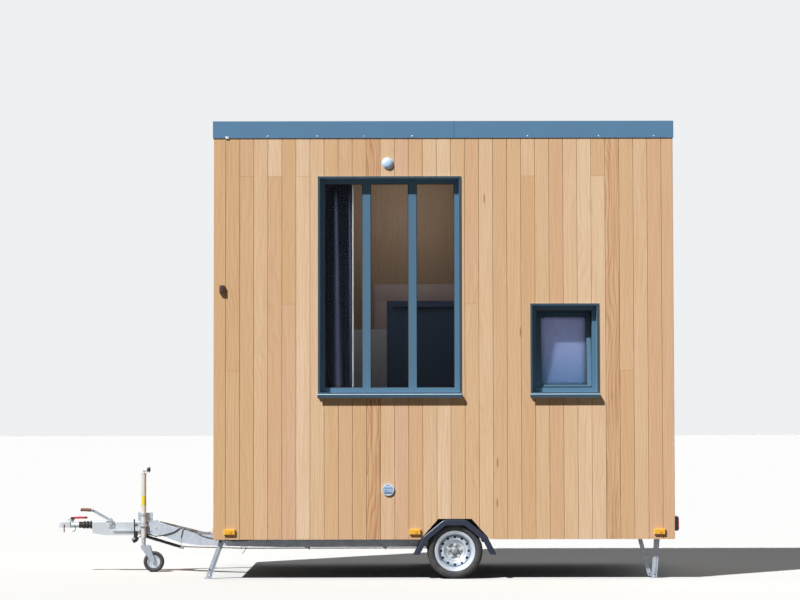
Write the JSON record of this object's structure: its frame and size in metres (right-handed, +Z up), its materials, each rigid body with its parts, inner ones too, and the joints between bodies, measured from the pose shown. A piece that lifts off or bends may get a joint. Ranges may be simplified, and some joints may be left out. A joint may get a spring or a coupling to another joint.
{
  "type": "tiny house on wheels",
  "caption": "Timber-clad tiny house on a braked single-axle trailer, with drawbar, jockey wheel, fold-up legs, two sizes of window and a rear-side door.",
  "frame": {"origin": "on the ground, midway along the whole length and on the trailer's centreline", "axes": "+Z up, drawbar towards -X, the side with the large window faces -Y"},
  "size_m": [5.879, 2.582, 4.234],
  "materials": {
    "cedar_boards": "oiled larch boards",
    "lining": "oiled plywood lining",
    "floor": "sealed board",
    "window_metal": "satin blue-grey paint",
    "fascia_metal": "satin blue-grey sheet",
    "roof_membrane": "matt membrane",
    "glass": "clear double glazing",
    "curtain_cloth": "dark blue cloth",
    "curtain_rod": "black",
    "door_paint": "dark blue paint",
    "handle_steel": "brushed",
    "galvanised": "hot-dip galvanised, spangled",
    "deck_steel": "galvanised",
    "wheel_silver": "silver wheel paint",
    "tyre_rubber": "black tyre",
    "black_plastic": "moulded black plastic",
    "gaiter_rubber": "black bellows",
    "red_plastic": "red moulding",
    "cast_grey": "grey casting",
    "amber_lens": "amber lens",
    "lamp_black": "dark lamp",
    "vent_white": "pale plastic",
    "cable_black": "black cable sheath"
  },
  "bodies": {
    "house": {"floor": "floor", "wall_left": "lining", "wall_right": "lining", "wall_front": "lining", "wall_rear": "lining", "cladding_left": "cedar_boards", "cladding_right": "cedar_boards", "cladding_ends": "cedar_boards", "roof": "lining", "fascia": "fascia_metal", "roof_cover": "roof_membrane", "large_window_surround": "window_metal", "small_window_surrounds": "window_metal", "window_frames": "window_metal", "window_glass": "glass", "curtains": "curtain_cloth", "curtain_rails": "curtain_rod", "door_frame": "window_metal", "door_hinges": "handle_steel", "deck_rails": "deck_steel", "deck_cross_members": "deck_steel", "edge_rails": "deck_steel", "drawbar_beam_left": "galvanised", "drawbar_beam_right": "galvanised", "axle": "galvanised", "mudguard_left": "black_plastic", "mudguard_right": "black_plastic", "overrun_housing": "cast_grey", "gaiter": "gaiter_rubber", "brake_rod": "galvanised", "rod_hangers": "galvanised", "jockey_clamp": "galvanised", "jockey_outer_tube": "galvanised", "leg_brackets": "galvanised", "side_markers": "amber_lens", "end_lamps": "lamp_black", "wall_fittings": "vent_white", "lead": "cable_black", "lead_plug": "black_plastic"},
    "door": {"door_leaf": "door_paint", "door_handle": "handle_steel"},
    "wheel_left": {"tyre_left": "tyre_rubber", "rim_left": "wheel_silver"},
    "wheel_right": {"tyre_right": "tyre_rubber", "rim_right": "wheel_silver"},
    "coupling": {"drawtube": "cast_grey"},
    "coupling_lever": {"coupling_handle": "red_plastic"},
    "handbrake": {"handbrake_lever": "galvanised"},
    "jockey_handle": {"jockey_crank": "galvanised"},
    "jockey_leg": {"jockey_stem": "galvanised"},
    "jockey_swivel": {"jockey_fork": "galvanised"},
    "jockey_wheel": {"jockey_tyre": "tyre_rubber", "jockey_rim": "vent_white"},
    "leg_front_left": {"leg_front_left": "galvanised"},
    "leg_front_right": {"leg_front_right": "galvanised"},
    "leg_rear_left": {"leg_rear_left": "galvanised"},
    "leg_rear_right": {"leg_rear_right": "galvanised"},
    "brace_left": {"brace_left": "galvanised"},
    "brace_right": {"brace_right": "galvanised"}
  },
  "joints": [
    {"name": "door_swing", "type": "hinge", "parent": "house", "child": "door", "pos_m": [1.092, 1.262, 1.6], "axis": [0, 0, -1], "range_deg": [0, 100]},
    {"name": "wheel_left_spin", "type": "hinge", "parent": "house", "child": "wheel_left", "pos_m": [0.8775, -1.136, 0.256], "axis": [0, 1, 0], "continuous": true},
    {"name": "wheel_right_spin", "type": "hinge", "parent": "house", "child": "wheel_right", "pos_m": [0.8775, 1.136, 0.256], "axis": [0, 1, 0], "continuous": true},
    {"name": "overrun_slide", "type": "slide", "parent": "house", "child": "coupling", "axis": [1, 0, 0], "range_m": [0, 0.08], "stiffness_N_per_m": 4000, "springref_m": -0.02, "deforming": ["gaiter"]},
    {"name": "coupling_lever_lift", "type": "hinge", "parent": "coupling", "child": "coupling_lever", "pos_m": [-2.8145, 0, 0.5], "axis": [0, -1, 0], "range_deg": [0, 60]},
    {"name": "handbrake_pull", "type": "hinge", "parent": "house", "child": "handbrake", "pos_m": [-2.4315, -0.062, 0.496], "axis": [0, 1, 0], "range_deg": [0, 75]},
    {"name": "jockey_crank_turn", "type": "hinge", "parent": "house", "child": "jockey_handle", "pos_m": [-2.1065, -0.112, 0.97], "axis": [0, 0, 1], "continuous": true},
    {"name": "jockey_lift", "type": "slide", "parent": "house", "child": "jockey_leg", "axis": [0, 0, -1], "range_m": [-0.06, 0.15]},
    {"name": "jockey_swivel_turn", "type": "hinge", "parent": "jockey_leg", "child": "jockey_swivel", "pos_m": [-2.1065, -0.112, 0.263], "axis": [0, 0, 1], "continuous": true},
    {"name": "jockey_wheel_spin", "type": "hinge", "parent": "jockey_swivel", "child": "jockey_wheel", "pos_m": [-2.0065, -0.112, 0.1], "axis": [0, 1, 0], "continuous": true},
    {"name": "leg_front_left_fold", "type": "hinge", "parent": "house", "child": "leg_front_left", "pos_m": [-1.2585, -1.12, 0.405], "axis": [0, -1, 0], "range_deg": [0, 108]},
    {"name": "leg_rear_left_fold", "type": "hinge", "parent": "house", "child": "leg_rear_left", "pos_m": [2.7525, -1.12, 0.405], "axis": [0, 1, 0], "range_deg": [0, 85]},
    {"name": "brace_left_fold", "type": "hinge", "parent": "house", "child": "brace_left", "pos_m": [2.5865, -1.056, 0.405], "axis": [0, 1, 0], "range_deg": [0, 104.5]},
    {"name": "leg_front_right_fold", "type": "hinge", "parent": "house", "child": "leg_front_right", "pos_m": [-1.2585, 1.12, 0.405], "axis": [0, 1, 0], "range_deg": [0, 108]},
    {"name": "leg_rear_right_fold", "type": "hinge", "parent": "house", "child": "leg_rear_right", "pos_m": [2.7525, 1.12, 0.405], "axis": [0, -1, 0], "range_deg": [0, 85]},
    {"name": "brace_right_fold", "type": "hinge", "parent": "house", "child": "brace_right", "pos_m": [2.5865, 1.056, 0.405], "axis": [0, -1, 0], "range_deg": [0, 104.5]}
  ],
  "couplings": [
    {"joint": "brace_left_fold", "follows": "leg_rear_left_fold", "ratio": 1.2235},
    {"joint": "brace_right_fold", "follows": "leg_rear_right_fold", "ratio": 1.2235}
  ]
}
